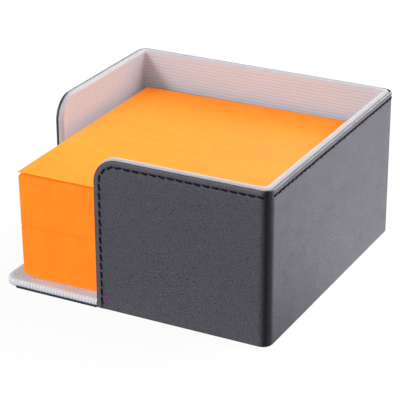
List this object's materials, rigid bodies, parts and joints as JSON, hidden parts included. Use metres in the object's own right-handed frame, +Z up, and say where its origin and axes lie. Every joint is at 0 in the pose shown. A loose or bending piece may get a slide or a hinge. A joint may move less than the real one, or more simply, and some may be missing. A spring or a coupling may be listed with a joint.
{
  "type": "leather note holder",
  "caption": "Square leather-covered tray with a cloth lining, stitched edges and a cut-away front corner, holding a block of loose orange notes.",
  "frame": {"origin": "middle of the square footprint, on the surface that the holder stands on", "axes": "+Z up, +X to the right along the front wall, +Y to the back; the cut-away corner is where -X and -Y meet"},
  "size_m": [0.101, 0.101, 0.0535],
  "materials": {
    "charcoal_leather": "fine grained, semi-matt, charcoal",
    "ribbed_cloth": "light grey ribbed cloth, matt",
    "greyboard": "dense grey-brown bookbinding board, matt",
    "seam_thread": "black waxed sewing thread",
    "orange_paper": "bright orange uncoated note paper"
  },
  "bodies": {
    "holder": {"base_leather": "charcoal_leather", "base_board": "greyboard", "base_lining": "ribbed_cloth", "front_board": "greyboard", "right_board": "greyboard", "back_board": "greyboard", "left_board": "greyboard", "leather_wrap": "charcoal_leather", "wall_lining": "ribbed_cloth", "seam_thread": "seam_thread"},
    "lower_pad": {"lower_note_pad": "orange_paper"},
    "upper_pad": {"upper_note_pad": "orange_paper"},
    "loose_sheet": {"loose_top_sheet": "orange_paper"}
  },
  "joints": [
    {"name": "lower_pad_lift", "type": "slide", "parent": "holder", "child": "lower_pad", "axis": [0, 0, 1], "range_m": [0, 0.06]},
    {"name": "upper_pad_lift", "type": "slide", "parent": "lower_pad", "child": "upper_pad", "axis": [0, 0, 1], "range_m": [0, 0.04]},
    {"name": "loose_sheet_lift", "type": "slide", "parent": "upper_pad", "child": "loose_sheet", "axis": [0, 0, 1], "range_m": [0, 0.025]}
  ]
}
